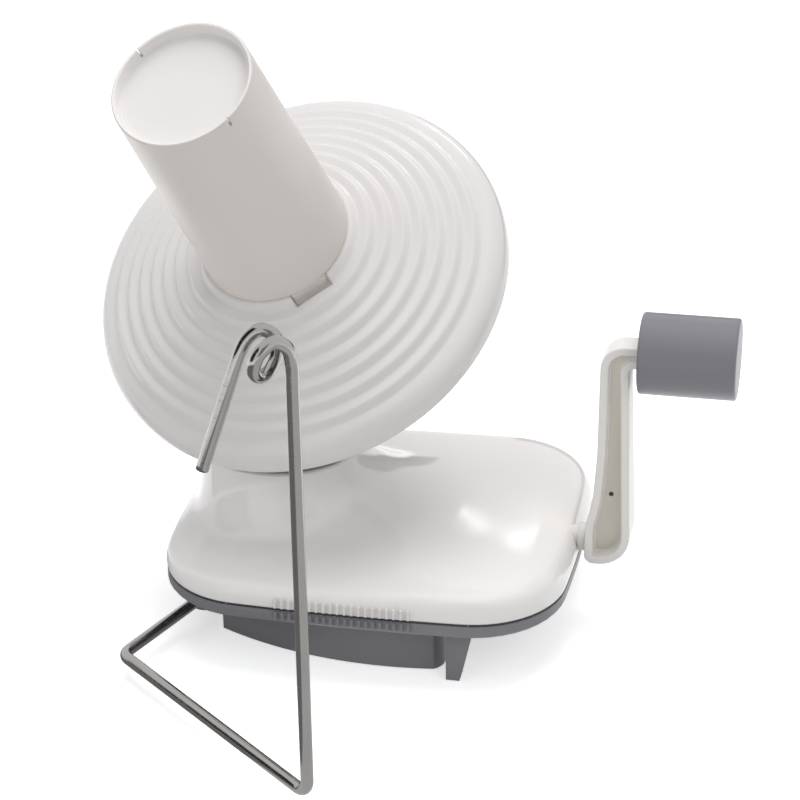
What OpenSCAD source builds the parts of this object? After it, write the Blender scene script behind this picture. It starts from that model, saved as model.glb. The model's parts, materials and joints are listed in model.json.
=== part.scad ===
// Hand-cranked yarn ball winder: a leaning spool on a stepped disc, carried round by a rotor
// above a small gear base, with a crank on the right and a bent wire yarn guide in front.

/* [Base] */
// Width of the base at the seam between tray and cover
base_w = 120; // [112:1:136]
// Depth of the base at the seam
base_d = 108; // [102:1:120]
// How far the middle of the base lies behind the crank shaft
base_shift = 3; // [1:0.5:5]
// Radius of the base corners seen from above
base_corner = 27; // [22:1:32]
// How far each side of the base bows outwards
base_bulge = 2.5; // [1.5:0.5:4]
// Height of the tray's underside above the table
foot_h = 16.5; // [14:0.5:18]
// Height of the tray from its underside to the seam
tray_h = 5.5; // [5:0.5:8]
// How far the tray draws in towards its underside
tray_taper = 4; // [2:0.5:5]
// Height of the cover's side wall
cover_h = 9; // [8.5:0.5:12]
// Radius of the cover's top edge
cover_edge = 4; // [3:0.5:4.5]
// Wall thickness of the base mouldings
wall = 2.4; // [1.8:0.2:2.6]

/* [Neck] */
// Distance of the rotor axis from the left edge of the base
neck_off = 30; // [28:1:34]
// Outer radius of the neck at its lip
neck_r = 24; // [23:0.5:27]
// Height of the flared neck above the cover's border
neck_h = 19.8; // [18:0.2:21]
// Wall thickness of the neck
neck_wall = 3; // [2:0.5:3]

/* [Spool] */
// Lean of the spool from upright, in degrees
lean = 37; // [34:1:40]
// Direction of the lean at rest, in degrees from the crank axis
lean_dir = 254.5; // [240:0.5:270]
// Height of the point where the spool axis crosses the rotor axis
apex_z = 116; // [114:1:126]
// Radius of the stepped disc
disc_r = 63; // [58:1:66]
// Number of steps on the disc
disc_steps = 8; // [6:1:9]
// Drop from each step to the next
step_drop = 2.25; // [1.75:0.25:2.5]
// Width of the slope from each step to the next
step_slope = 1.5; // [0.5:0.25:2.5]
// Radius of the disc's rounded shoulder
shoulder_r = 6.3; // [5:0.1:7]
// Radius of the spool core at its foot
core_foot_r = 22; // [20:0.5:23]
// Radius of the spool core at its top
core_top_r = 20; // [18:0.5:21]
// Length of the spool core
core_len = 78.5; // [70:0.5:95]
// Wall thickness of the spool core and the disc
core_wall = 2.4; // [1.8:0.2:2.8]
// Depth of the recess in the top of the core
core_recess = 2.5; // [2:0.5:6]
// Width of the yarn slits in the core's rim
slit_w = 1; // [0.8:0.2:2.4]
// Width of the key tabs at the core's foot
key_w = 11.4; // [8:0.2:13]

/* [Gears] */
// Teeth on the crown wheel of the crank shaft
crown_teeth = 24; // [22:1:24]
// Teeth on the pinion of the rotor
pinion_teeth = 12; // [12:1:13]
// Tooth size: pitch diameter for each tooth
gear_module = 1.25; // [1.2:0.05:1.25]
// Teeth on the fixed sun wheel
sun_teeth = 12; // [10:1:12]
// Teeth on the planet wheel under the disc
planet_teeth = 18; // [16:1:18]
// Distance from the apex to the middle of the bevel teeth
bevel_reach = 38; // [37:0.5:39]
// Length of the bevel teeth
bevel_face = 7; // [5:0.5:8]

/* [Crank] */
// Height of the crank shaft above the seam of the base
crank_rise = 4; // [3.8:0.1:4.4]
// Distance from the crank shaft to the grip's axis
crank_r = 61.5; // [50:0.5:70]
// Thickness of the crank arm seen from the front
arm_t = 8; // [7.5:0.5:10]
// Depth of the crank arm from front to back at the shaft
arm_w = 14; // [12:0.5:16]
// Depth of the crank arm from front to back at the grip
arm_w_top = 8.5; // [8:0.5:11]
// Thickness of the web between the ribs of the arm
web_t = 4; // [3:0.5:5]
// Radius of the grip
grip_r = 11.8; // [10:0.2:14]
// Length of the grip
grip_len = 28; // [24:1:36]

/* [Yarn guide] */
// Diameter of the wire
wire_d = 3.5; // [3:0.25:3.75]
// Height of the wire's horizontal run above the table
wire_z = 6; // [5.5:0.25:6.5]
// Height above the table at which the upright bends into the eye
eye_z = 136; // [120:0.5:150]
// Size of the eye as a share of its drawn size
eye_scale = 1; // [0.95:0.05:1.3]
// Length of the straight tail after the eye
tail_len = 34; // [20:1:40]
// Greatest swing of the guide each way, in degrees
guide_swing = 18; // [10:1:18]

/* [Fits] */
// Radial clearance of shafts that turn in a bore
run_fit = 0.05; // [0.03:0.01:0.08]
// Gap between faces of pieces that move past each other
face_gap = 0.4; // [0.3:0.05:0.5]
// Radial clearance of screws in their holes
screw_gap = 0.2; // [0.15:0.05:0.3]

/* [Hidden] */
$fn = 72;
over = 0.5;
seam_z = foot_h + tray_h;
crank_z = seam_z + crank_rise;
border_z = seam_z + cover_h;
lip_z = border_z + neck_h;
neck_x = neck_off - base_w / 2;
neck_bore = neck_r - neck_wall;
inner_top = border_z - wall;
rim_band = 2.5;
corner_ease = 0.03;

shaft_r = 3;
crank_shaft_r = 2.5;
post_flange_r = 7;
post_flange_h = 3;
block_floor = wall;
collar_r = 6;

pinion_r = gear_module * pinion_teeth / 2;
crown_r = gear_module * crown_teeth / 2;
tooth_add = 0.9;
tooth_ded = 1.6;
tooth_tip = 0.45;
tooth_root = 0.85;
crown_face = 3;
crown_plate = 3.5;
crown_hub = 6;
crown_tip_x = neck_x + pinion_r - tooth_add;
crown_x = neck_x + pinion_r + tooth_ded;
crown_out = crown_r + crown_face / 2 + 1;
mesh_z = crank_z + crown_r;
pinion_w = crown_face + 3;
sleeve_r = 5.2;
sleeve_z = mesh_z - pinion_w / 2 - 2;
collar_top = sleeve_z - face_gap;
collar_h = 3;
dust_z = mesh_z + pinion_w / 2 + 1;
dust_h = 2;
dust_r = neck_bore - 0.7;

sun_angle = atan2(sin(lean), planet_teeth / sun_teeth + cos(lean));
planet_angle = lean - sun_angle;
bevel_near = bevel_reach - bevel_face / 2;
bevel_far = bevel_reach + bevel_face / 2;
bevel_add = 1.2;
bevel_ded = 1.5;
bevel_tip = 0.55;
bevel_root = 1;
bevel_sink = 0.4;
sun_low = apex_z - bevel_far * cos(sun_angle);
sun_top = apex_z - bevel_near * cos(sun_angle);
hub_r = 8;
hub_low = bevel_far * cos(planet_angle) + 2.5;
hub_top = 33;
washer_h = 2.4;
boss_r = 7.5;
boss_near = hub_low + face_gap + washer_h;
boss_len = 14;
boss_far = boss_near + boss_len;
axle_cap_h = 3;
axle_cap_r = 5.5;
rotor_low = lip_z + 3;
rotor_hub_h = 11;
rotor_hub_r = 9;
rotor_w = 12;

step_in = core_foot_r + 2.5;
step_out = disc_r - shoulder_r;
step_pitch = (step_out - step_in) / (disc_steps - 1);
shoulder_w = -disc_steps * step_drop - shoulder_r;
skirt_h = 2.7;
disc_plate = 4.2;
under_drop = 4.2;
key_turn = 51;
slit_turn = 65;
key_depth = 5;
key_gap = 0.3;
core_cap_t = 1.6;
slit_depth = core_recess + 1.5;

side_x = base_w / 2;
bush_r = 3.4;
bush_flange_r = 4.2;
bush_flange = 2;
bush_in = 7;
arm_x = side_x + bush_flange + face_gap;
arm_jog = 2;
arm_out = arm_x + arm_jog;
arm_far = arm_out + arm_t;
arm_mid = arm_out + arm_t / 2;
arm_rib = 1.8;
arm_round = 7;
arm_heel = 8;
arm_fillet = 2;
grip_z = crank_z + crank_r;
arm_top = grip_z + arm_t / 2;
arm_end_x = arm_far + 4;
grip_x = arm_end_x + face_gap;
pin_r = 2.2;
pin_wall = 1.6;
pin_in = 9;
shaft_end = 2;
grip_cap = 1.6;
grip_edge = 1.6;
arm_hole_r = 1.2;
arm_hole_z = crank_z + crank_r / 4;

ped_in_left = 17;
ped_in_right = 34;
ped_in_front = 10;
ped_in_back = 15;
ped_left = base_w / 2 - ped_in_left;
ped_right = base_w / 2 - ped_in_right;
ped_front = base_d / 2 - base_shift - ped_in_front;
ped_back = base_d / 2 + base_shift - ped_in_back;
ped_corner = 6;
ped_bow = 110;
ped_bow_x = 8;
fin_gap = 2;
fin_x = ped_right + fin_gap;
fin_w = 8;
fin_foot = 4;
fin_t = 5;
fin_in = 6;
screw_in = 18;
screw_x = base_w / 2 - screw_in;
screw_y = base_d / 2 - screw_in;
screw_r = 1.5;
screw_head_r = 3;
screw_head_h = 2.2;
screw_boss_r = 4.6;
screw_sink = 3;
block_off = 21;
block_x = neck_x + block_off;
block_t = 8;
block_w = 14;
block_top = border_z + 0.5;

wire_r = wire_d / 2;
wire_sides = 12;
pivot_in_x = 9.5;
pivot_in_y = 31;
pivot_x = pivot_in_x - base_w / 2;
pivot_y = base_shift + pivot_in_y - base_d / 2;
pivot_r = 3;
pivot_boss_r = 4.6;
pivot_low = wire_z - wire_r - 1.2;
pivot_top_z = seam_z + 3.5;
boss_top_z = pivot_top_z - 2.4;
pivot_neck_r = 3.8;
clip_r = pivot_r + 2;
clip_h = 1.4;
guide_left = 5;
guide_near = 7;
guide_front = 66;
guide_right = 64.5;
corner_a = [-base_w / 2 - guide_left, base_shift - base_d / 2 - guide_near, wire_z];
corner_b = [guide_right - base_w / 2, base_shift - base_d / 2 - guide_front, wire_z];
bend_r = 4.5;
bend_pts = 6;
eye_pts = 5;
// Middle of the wire through the eye, from the top of the upright to the start of the tail
eye_route = [[0, 0, -14], [0, 0, -9], [0, 0, -4], [-0.9, -0.3, 0.5], [-3.7, -2.3, 2.9], [-6.9, -4.9, 0.5],
    [-8.4, -4.8, -3.8], [-7.8, -2, -6.9], [-6.2, 1.2, -6.6], [-5, 4.2, -3.8], [-5.2, 5.6, -0.2],
    [-7.3, 5.9, 1.9], [-10, 5.7, 1.9], [-12.7, 5.3, -0.6], [-14.6, 4.9, -4.5], [-16, 4.7, -8.7]];

// Solid with four bowed sides and round corners, tapered below or rounded above.
module rim_profile(r, h, taper, band, edge) {
    if (edge > 0) {
        union() {
            square([r - edge, h]);
            square([r, h - edge]);
            translate([r - edge, h - edge]) circle(edge);
        }
    } else {
        polygon([[0, 0], [r - taper, 0], [r, h - band], [r, h], [0, h]]);
    }
}

module bowed_disc(r, h, taper, band, edge) {
    rotate_extrude($fn = 360) rim_profile(r, h, taper, band, edge);
}

module corner_box(w, d, rc, h) {
    union() {
        translate([-w / 2, -d / 2 + rc, 0]) cube([w, d - 2 * rc, h]);
        translate([-w / 2 + rc, -d / 2, 0]) cube([w - 2 * rc, d, h]);
        for (sx = [-1, 1], sy = [-1, 1])
            translate([sx * (w / 2 - rc), sy * (d / 2 - rc), 0]) cylinder(h = h, r = rc);
    }
}

// Each side of the base is a flat arc, and each corner is a round that runs smoothly into two of them.
function bow_radius(half, bulge) = half * half / (2 * bulge) + bulge / 2;
bow_front = bow_radius(base_w / 2, base_bulge);
bow_side = bow_radius(base_d / 2, base_bulge);
mid_front = [0, bow_front - base_d / 2];
mid_side = [base_w / 2 - bow_side, 0];
function meet(p, rp, q, rq) =
    let (d = norm(q - p), u = (q - p) / d, a = (rp * rp - rq * rq + d * d) / (2 * d))
    p + a * u + sqrt(rp * rp - a * a) * [-u[1], u[0]];
corner_mid = meet(mid_front, bow_front - base_corner, mid_side, bow_side - base_corner);
function beyond(p, reach) = corner_mid + reach * (corner_mid - p) / norm(corner_mid - p);
corner_front = beyond(mid_front, 2 * base_corner);
corner_side = beyond(mid_side, 2 * base_corner);

module side_wedges(h) {
    for (m = [0, 1]) mirror([m, 0, 0]) for (n = [0, 1]) mirror([0, n, 0]) linear_extrude(h) {
        polygon([[0, 0], [0, corner_front[1]], corner_front, corner_mid]);
        polygon([[0, 0], corner_mid, corner_side, [corner_side[0], 0]]);
    }
}

module pad(inset, h, taper, band, edge) {
    rw = bow_front - inset;
    rd = bow_side - inset;
    translate([0, base_shift, 0]) union() {
        intersection() {
            side_wedges(h);
            translate(mid_front) bowed_disc(rw, h, taper, band, edge);
            translate(-mid_front) bowed_disc(rw, h, taper, band, edge);
            translate(mid_side) bowed_disc(rd, h, taper, band, edge);
            translate(-mid_side) bowed_disc(rd, h, taper, band, edge);
        }
        for (sx = [-1, 1], sy = [-1, 1])
            translate([sx * corner_mid[0], sy * corner_mid[1], 0])
                rotate_extrude() rim_profile(base_corner - inset - corner_ease, h, taper, band, edge);
    }
}

module at_screws() {
    for (sx = [-1, 1], sy = [-1, 1])
        translate([sx * screw_x, base_shift + sy * screw_y, 0]) children();
}

module on_rotor() {
    translate([neck_x, 0, 0]) rotate([0, 0, lean_dir]) children();
}

// Frame of the spool: origin where the axes cross, Z along the spool axis.
module on_spool() {
    on_rotor() translate([0, 0, apex_z]) rotate([0, lean, 0]) children();
}

module along_x(x, z) {
    translate([x, 0, z]) rotate([0, 90, 0]) children();
}

module pedestal(inset, h) {
    intersection() {
        translate([(ped_right - ped_left) / 2, (ped_back - ped_front) / 2, 0])
            corner_box(ped_left + ped_right - 2 * inset, ped_front + ped_back - 2 * inset,
                ped_corner - inset, h);
        translate([ped_bow_x, ped_bow - ped_front, 0]) cylinder(h = h, r = ped_bow - inset, $fn = 180);
    }
}

module fin(side) {
    translate([fin_x, base_shift + side * (base_d / 2 - fin_in - fin_t / 2) + fin_t / 2, 0])
        rotate([90, 0, 0])
            linear_extrude(fin_t)
                polygon([[0, 0], [fin_foot, 0], [fin_w, foot_h + 1], [0, foot_h + 1]]);
}

module lower_tray() {
    color([0.41, 0.40, 0.42])
    difference() {
        union() {
            difference() {
                union() {
                    translate([0, 0, foot_h]) pad(0, tray_h, tray_taper, rim_band, 0);
                    pedestal(0, foot_h + wall);
                    fin(-1);
                    fin(1);
                }
                translate([0, 0, foot_h + wall])
                    pad(wall, tray_h, tray_taper, rim_band, 0);
                translate([0, 0, block_floor]) pedestal(wall, tray_h + foot_h);
            }
            at_screws() translate([0, 0, foot_h + over])
                cylinder(h = tray_h - over, r = screw_boss_r);
            translate([pivot_x, pivot_y, foot_h + over])
                cylinder(h = boss_top_z - foot_h - over, r = pivot_boss_r);
        }
        at_screws() {
            translate([0, 0, foot_h - over]) cylinder(h = tray_h + 2 * over, r = screw_r + screw_gap);
            translate([0, 0, foot_h - over]) cylinder(h = screw_sink + over, r = screw_head_r + screw_gap);
        }
        translate([pivot_x, pivot_y, foot_h - over])
            cylinder(h = boss_top_z - foot_h + 2 * over, r = pivot_r + run_fit);
    }
}

module neck_flare(r) {
    foot = neck_r + neck_h - sqrt(max(r * r - neck_h * neck_h, 0));
    difference() {
        translate([0, -cover_h]) square([foot, neck_h + cover_h]);
        translate([neck_r + neck_h, neck_h]) circle(r, $fn = 96);
    }
}

module neck_solid(r, inset) {
    intersection() {
        translate([0, 0, seam_z]) pad(inset, lip_z - seam_z + inset, 0, 0, 0);
        translate([neck_x, 0, border_z]) rotate_extrude() neck_flare(r);
    }
}

module top_cover() {
    color([0.87, 0.85, 0.84])
    difference() {
        union() {
            difference() {
                union() {
                    translate([0, 0, seam_z]) pad(0, cover_h, 0, 0, cover_edge);
                    neck_solid(neck_h, 0);
                }
                translate([0, 0, seam_z - over])
                    pad(wall, cover_h - wall + over, 0, 0, cover_edge - 1);
                neck_solid(neck_h + neck_wall, wall);
                translate([neck_x, 0, seam_z]) cylinder(h = lip_z, r = neck_bore);
            }
            at_screws() translate([0, 0, seam_z]) cylinder(h = cover_h - wall + over, r = screw_boss_r - 0.6);
            along_x(side_x - bush_in, crank_z) cylinder(h = bush_in - wall / 2, r = crank_z - seam_z);
        }
        at_screws() translate([0, 0, seam_z - over])
            cylinder(h = cover_h - wall - 1 + over, r = screw_r + screw_gap / 2);
        along_x(side_x - bush_in - over, crank_z) cylinder(h = bush_in + 2 * over, r = bush_r);
    }
}

module cover_screw(sx, sy) {
    color([0.62, 0.62, 0.64])
    translate([sx * screw_x, base_shift + sy * screw_y, foot_h + screw_sink - screw_head_h])
    difference() {
        union() {
            cylinder(h = screw_head_h, r = screw_head_r);
            cylinder(h = screw_head_h + tray_h - screw_sink + cover_h - wall - 3, r = screw_r);
        }
        for (a = [0, 90])
            rotate([0, 0, a]) translate([-screw_head_r * 0.6, -0.4, -over])
                cube([screw_head_r * 1.2, 0.8, over + 1]);
    }
}

module cover_screw_fl() { cover_screw(-1, -1); }
module cover_screw_fr() { cover_screw(1, -1); }
module cover_screw_bl() { cover_screw(-1, 1); }
module cover_screw_br() { cover_screw(1, 1); }

module centre_post() {
    color([0.70, 0.70, 0.72])
    translate([neck_x, 0, block_floor]) union() {
        cylinder(h = post_flange_h, r = post_flange_r);
        cylinder(h = sun_top - block_floor, r = shaft_r);
    }
}

module post_collar() {
    color([0.86, 0.84, 0.80])
    translate([neck_x, 0, collar_top - collar_h])
    difference() {
        cylinder(h = collar_h, r = collar_r);
        translate([0, 0, -over]) cylinder(h = collar_h + 2 * over, r = shaft_r);
    }
}

// One bevel tooth along the pitch cone of half-angle a, pointing down from the apex.
module bevel_tooth(a) {
    rotate([0, -a, 0])
        translate([0, 0, -bevel_far])
            linear_extrude(bevel_far - bevel_near)
                polygon([[-bevel_ded - bevel_sink, -bevel_root], [bevel_add, -bevel_tip],
                    [bevel_add, bevel_tip], [-bevel_ded - bevel_sink, bevel_root]]);
}

module bevel_wheel(a, teeth, first) {
    low = bevel_far * cos(a);
    high = bevel_near * cos(a);
    union() {
        translate([0, 0, -low])
            cylinder(h = low - high, r1 = bevel_far * sin(a) - bevel_ded, r2 = bevel_near * sin(a) - bevel_ded);
        for (i = [0:teeth - 1])
            rotate([0, 0, first + i * 360 / teeth]) bevel_tooth(a);
    }
}

module sun_gear() {
    color([0.92, 0.90, 0.86])
    on_rotor() difference() {
        union() {
            translate([0, 0, apex_z]) bevel_wheel(sun_angle, sun_teeth, 180 + 180 / sun_teeth);
            translate([0, 0, sun_low - 3]) cylinder(h = 3 + over, r = bevel_far * sin(sun_angle) - bevel_ded);
        }
        translate([0, 0, sun_low - 3 - over]) cylinder(h = sun_top - sun_low + 3 + 4 * over, r = shaft_r);
    }
}

module crank_bush() {
    color([0.80, 0.79, 0.78])
    difference() {
        union() {
            along_x(side_x - bush_in, crank_z) cylinder(h = bush_in, r = bush_r);
            along_x(side_x, crank_z) cylinder(h = bush_flange, r = bush_flange_r);
        }
        along_x(side_x - bush_in - over, crank_z)
            cylinder(h = bush_in + bush_flange + 2 * over, r = crank_shaft_r + run_fit);
    }
}

module shaft_block() {
    color([0.86, 0.84, 0.80])
    difference() {
        translate([block_x, -block_w / 2, block_floor])
            cube([block_t, block_w, block_top - block_floor]);
        along_x(block_x - over, crank_z) cylinder(h = block_t + 2 * over, r = crank_shaft_r + run_fit);
    }
}

module crank_shaft() {
    color([0.72, 0.72, 0.74])
    along_x(crown_x, crank_z) cylinder(h = arm_far - shaft_end - crown_x, r = crank_shaft_r);
}

module crown_gear() {
    color([0.92, 0.90, 0.86])
    difference() {
        union() {
            along_x(crown_x, crank_z) cylinder(h = crown_plate, r = crown_out);
            along_x(crown_x, crank_z) cylinder(h = crown_plate + crown_hub, r = 2 * crank_shaft_r);
            for (i = [0:crown_teeth - 1])
                translate([0, 0, crank_z])
                    rotate([(i + 0.5) * 360 / crown_teeth, 0, 0])
                        translate([0, 0, crown_r - crown_face / 2])
                            linear_extrude(crown_face)
                                polygon([[crown_x + 0.4, -tooth_root], [crown_tip_x, -tooth_tip],
                                    [crown_tip_x, tooth_tip], [crown_x + 0.4, tooth_root]]);
        }
        along_x(crown_x - over, crank_z) cylinder(h = crown_plate + crown_hub + 2 * over, r = crank_shaft_r);
    }
}

// Front view of the arm: upright with a round heel, a round shoulder and a short bar to the grip.
module arm_outline(inset) {
    union() {
        translate([arm_out + inset, crank_z]) square([arm_t - 2 * inset, crank_r + arm_t / 2 - arm_round]);
        intersection() {
            translate([arm_far - arm_heel, crank_z]) circle(arm_heel - inset);
            translate([arm_x + inset, crank_z - arm_heel])
                square([arm_far - arm_x - 2 * inset, arm_heel]);
        }
        translate([arm_out + arm_round, arm_top - arm_round]) intersection() {
            circle(arm_round - inset);
            translate([-arm_round, 0]) square(arm_round);
        }
        translate([arm_out + arm_round, arm_top - arm_t + inset])
            square([arm_end_x - arm_out - arm_round - inset, arm_t - 2 * inset]);
        translate([arm_far - inset, arm_top - arm_t - arm_fillet + inset]) difference() {
            square([arm_fillet, arm_fillet]);
            translate([arm_fillet, 0]) circle(arm_fillet, $fn = 48);
        }
    }
}

module arm_plate(inset, w) {
    translate([0, w / 2, 0]) rotate([90, 0, 0]) linear_extrude(w) arm_outline(inset);
}

// Side view of the arm, deeper at the shaft than at the grip.
module arm_taper() {
    translate([arm_x - over, 0, crank_z])
        rotate([90, 0, 90])
            linear_extrude(arm_end_x - arm_x + 2 * over)
                polygon([[-arm_w / 2, -arm_heel - over], [arm_w / 2, -arm_heel - over], [arm_w / 2, 0],
                    [arm_w_top / 2, crank_r], [arm_w_top / 2, crank_r + arm_t], [-arm_w_top / 2, crank_r + arm_t],
                    [-arm_w_top / 2, crank_r], [-arm_w / 2, 0]]);
}

module crank_arm() {
    color([0.82, 0.80, 0.78])
    difference() {
        union() {
            difference() {
                intersection() {
                    arm_plate(0, arm_w);
                    arm_taper();
                }
                for (s = [-1, 1])
                    translate([0, s * (web_t + arm_w) / 2, 0]) arm_plate(arm_rib, arm_w);
            }
            along_x(arm_x, crank_z) cylinder(h = arm_far - arm_x - over, r = crank_shaft_r + pin_wall);
            along_x(arm_out + arm_rib, grip_z) cylinder(h = arm_end_x - arm_out - arm_rib, r = pin_r + pin_wall);
        }
        along_x(arm_x - over, crank_z) cylinder(h = arm_far - arm_x - shaft_end + over, r = crank_shaft_r);
        along_x(grip_x - pin_in, grip_z) cylinder(h = pin_in + over, r = pin_r);
        translate([arm_mid, arm_w / 2, arm_hole_z]) rotate([90, 0, 0]) cylinder(h = arm_w, r = arm_hole_r, $fn = 24);
    }
}

module grip_pin() {
    color([0.72, 0.72, 0.74])
    along_x(grip_x - pin_in, grip_z) cylinder(h = pin_in + grip_len - grip_cap - 2, r = pin_r);
}

module grip_knob() {
    color([0.51, 0.50, 0.53])
    along_x(grip_x, grip_z)
    difference() {
        rotate_extrude() union() {
            translate([0, grip_edge]) square([grip_r, grip_len - 2 * grip_edge]);
            square([grip_r - grip_edge, grip_len]);
            for (z = [grip_edge, grip_len - grip_edge])
                translate([grip_r - grip_edge, z]) intersection() {
                    circle(grip_edge);
                    translate([0, -grip_edge]) square([grip_edge, 2 * grip_edge]);
                }
        }
        translate([0, 0, -over]) cylinder(h = grip_len - grip_cap - 1 + over, r = pin_r + run_fit);
        translate([0, 0, grip_len - grip_cap]) cylinder(h = grip_cap + over, r = grip_r - 3.4);
    }
}

module grip_end() {
    color([0.48, 0.47, 0.50])
    along_x(grip_x + grip_len - grip_cap, grip_z) cylinder(h = grip_cap - 0.2, r = grip_r - 3.5);
}

module rotor_sleeve() {
    color([0.30, 0.30, 0.32])
    translate([neck_x, 0, sleeve_z])
    difference() {
        cylinder(h = rotor_low + rotor_hub_h - sleeve_z, r = sleeve_r);
        translate([0, 0, -over])
            cylinder(h = rotor_low + rotor_hub_h - sleeve_z + 2 * over, r = shaft_r + run_fit);
    }
}

module rotor_pinion() {
    color([0.92, 0.90, 0.86])
    translate([neck_x, 0, mesh_z - pinion_w / 2])
    difference() {
        linear_extrude(pinion_w) union() {
            circle(pinion_r - tooth_ded);
            for (i = [0:pinion_teeth - 1])
                rotate(i * 360 / pinion_teeth)
                    polygon([[pinion_r - tooth_ded - 0.4, -tooth_root], [pinion_r + tooth_add, -tooth_tip],
                        [pinion_r + tooth_add, tooth_tip], [pinion_r - tooth_ded - 0.4, tooth_root]]);
        }
        translate([0, 0, -over]) cylinder(h = pinion_w + 2 * over, r = sleeve_r);
    }
}

module dust_plate() {
    color([0.30, 0.30, 0.32])
    translate([neck_x, 0, dust_z])
    difference() {
        cylinder(h = dust_h, r = dust_r);
        translate([0, 0, -over]) cylinder(h = dust_h + 2 * over, r = sleeve_r);
    }
}

module rotor_arm() {
    color([0.30, 0.30, 0.32])
    on_rotor() difference() {
        union() {
            translate([0, 0, rotor_low]) cylinder(h = rotor_hub_h, r = rotor_hub_r);
            translate([0, rotor_w / 2, 0]) rotate([90, 0, 0]) linear_extrude(rotor_w)
                polygon([[0, rotor_low], [0, rotor_low + rotor_hub_h],
                    [-rotor_hub_r - 3, rotor_low + rotor_hub_h],
                    [-boss_near * sin(lean) - 1, apex_z - boss_near * cos(lean) - 3],
                    [-boss_far * sin(lean) - 1, apex_z - boss_far * cos(lean) + 1],
                    [-boss_far * sin(lean) + 2, apex_z - boss_far * cos(lean) - 2],
                    [-rotor_hub_r - 2, rotor_low]]);
            translate([0, 0, apex_z]) rotate([0, lean, 0])
                translate([0, 0, -boss_far]) cylinder(h = boss_len, r = boss_r);
        }
        translate([0, 0, rotor_low - over]) cylinder(h = rotor_hub_h + 2 * over, r = sleeve_r);
        translate([0, 0, apex_z]) rotate([0, lean, 0])
            translate([0, 0, -boss_far + 2]) cylinder(h = boss_len, r = shaft_r);
    }
}

module spindle_axle() {
    color([0.72, 0.72, 0.74])
    on_spool() translate([0, 0, -boss_far + 2])
        cylinder(h = boss_far - 2 + hub_top + face_gap + axle_cap_h - 1, r = shaft_r);
}

module axle_washer() {
    color([0.86, 0.84, 0.80])
    on_spool() translate([0, 0, -boss_near])
    difference() {
        cylinder(h = washer_h, r = 2 * shaft_r);
        translate([0, 0, -over]) cylinder(h = washer_h + 2 * over, r = shaft_r);
    }
}

module axle_cap() {
    color([0.62, 0.62, 0.64])
    on_spool() translate([0, 0, hub_top + face_gap])
    difference() {
        cylinder(h = axle_cap_h, r = axle_cap_r);
        translate([0, 0, -over]) cylinder(h = axle_cap_h - 1 + over, r = shaft_r);
    }
}

function step_r(i) = step_in + i * step_pitch;
function step_pts() = [for (i = [0:disc_steps - 1], k = [0, 1])
    [step_r(i) - (1 - k) * step_slope, -(i + k) * step_drop]];

// Half section of the disc: steps above, an even shell below, and a rounded shoulder.
module disc_section() {
    difference() {
        union() {
            polygon(concat([[0, 0]], step_pts(), [[step_out, shoulder_w], [0, shoulder_w]]));
            translate([step_out, shoulder_w]) circle(shoulder_r, $fn = 96);
            translate([0, shoulder_w - skirt_h]) square([disc_r, skirt_h]);
        }
        polygon([[0, -disc_plate], [step_in, -disc_plate],
            [step_out, -(disc_steps - 1) * step_drop - under_drop],
            [step_out, shoulder_w - 2 * shoulder_r], [0, shoulder_w - 2 * shoulder_r]]);
        translate([step_out, shoulder_w]) circle(shoulder_r - core_wall, $fn = 96);
        translate([0, shoulder_w - 2 * shoulder_r]) square([disc_r - core_wall, 2 * shoulder_r]);
        translate([0, shoulder_w - skirt_h - 2 * shoulder_r]) square([disc_r + over, 2 * shoulder_r]);
    }
}

module key_slot(gap) {
    for (s = [0, 180])
        rotate([0, 0, key_turn + s])
            translate([core_foot_r - core_wall - 1 - gap, -key_w / 2 - gap, -key_depth - 1])
                cube([core_wall + 1 + 3 * gap + 2.2, key_w + 2 * gap, key_depth + 1 + over]);
}

module spool_disc() {
    color([0.87, 0.85, 0.83])
    on_spool() difference() {
        union() {
            rotate_extrude() disc_section();
            translate([0, 0, -hub_low]) cylinder(h = hub_low + hub_top, r = hub_r);
        }
        key_slot(key_gap);
        translate([0, 0, -hub_low - over]) cylinder(h = hub_low + hub_top + 2 * over, r = shaft_r + run_fit);
    }
}

module planet_gear() {
    color([0.92, 0.90, 0.86])
    on_spool() difference() {
        bevel_wheel(planet_angle, planet_teeth, 0);
        translate([0, 0, -hub_low]) cylinder(h = hub_low, r = hub_r);
    }
}

module core_inside() {
    rotate_extrude()
        polygon([[0, -key_depth - over], [core_foot_r - core_wall, -key_depth - over],
            [core_foot_r - core_wall, 0], [core_top_r - core_wall, core_len], [core_top_r - core_wall, core_len + over],
            [0, core_len + over]]);
}

module spool_core() {
    color([0.80, 0.77, 0.75])
    on_spool() difference() {
        union() {
            cylinder(h = core_len, r1 = core_foot_r, r2 = core_top_r);
            intersection() {
                translate([0, 0, -key_depth]) cylinder(h = key_depth + over, r = core_foot_r - key_gap);
                for (s = [0, 180])
                    rotate([0, 0, key_turn + s]) translate([0, -key_w / 2, -key_depth - over])
                        cube([2 * core_foot_r, key_w, key_depth + 3 * over]);
            }
        }
        core_inside();
        for (s = [0, 180])
            rotate([0, 0, slit_turn + s]) translate([0, -slit_w / 2, core_len - slit_depth])
                cube([2 * core_foot_r, slit_w, slit_depth + over]);
    }
}

module core_cap() {
    color([0.89, 0.87, 0.85])
    on_spool() translate([0, 0, core_len - core_recess - core_cap_t])
        cylinder(h = core_cap_t, r = core_top_r - core_wall - 0.02);
}

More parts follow.
